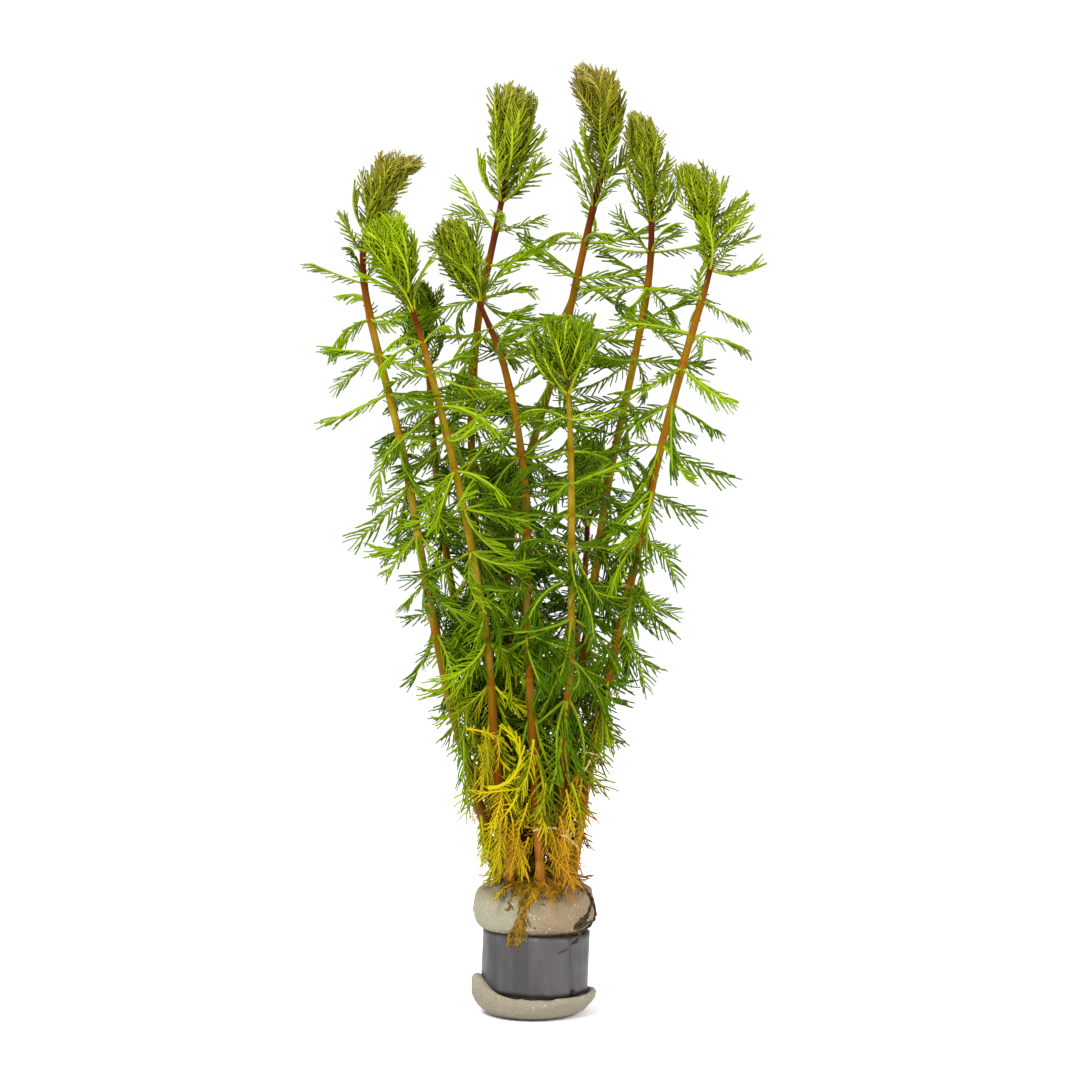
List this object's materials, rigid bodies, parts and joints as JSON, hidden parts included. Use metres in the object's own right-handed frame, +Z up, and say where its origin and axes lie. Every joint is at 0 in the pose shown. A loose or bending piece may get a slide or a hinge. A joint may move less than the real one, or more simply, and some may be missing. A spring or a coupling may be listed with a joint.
{
  "type": "bunch of red milfoil in a weighted foam collar",
  "caption": "Bunched feather-leaved pond and aquarium plant: slender whorled stems with bushy crowns, held in a foam collar with a soft-metal weight band.",
  "frame": {"origin": "centre of the foam collar's flat bottom", "axes": "+Z up along the stems; -Y faces the viewer of the picture, +X to that viewer's right"},
  "size_m": [0.0991, 0.0617, 0.2186],
  "materials": {
    "foam": "matte",
    "soft_metal": "satin",
    "dead_leaf": "matte",
    "decayed_root": "satin",
    "milfoil": "satin"
  },
  "bodies": {
    "root": {"foam_collar": "foam", "weight_band": "soft_metal", "dead_leaf_scrap": "dead_leaf", "dark_strand": "decayed_root", "stem_far_left": "milfoil", "stem_left": "milfoil", "stem_inner_left": "milfoil", "stem_front_centre": "milfoil", "stem_tall_left": "milfoil", "stem_tall_brown": "milfoil", "stem_short_front": "milfoil", "stem_right": "milfoil", "stem_far_right": "milfoil", "stem_back_right": "milfoil", "stem_back_short": "milfoil"}
  },
  "joints": []
}
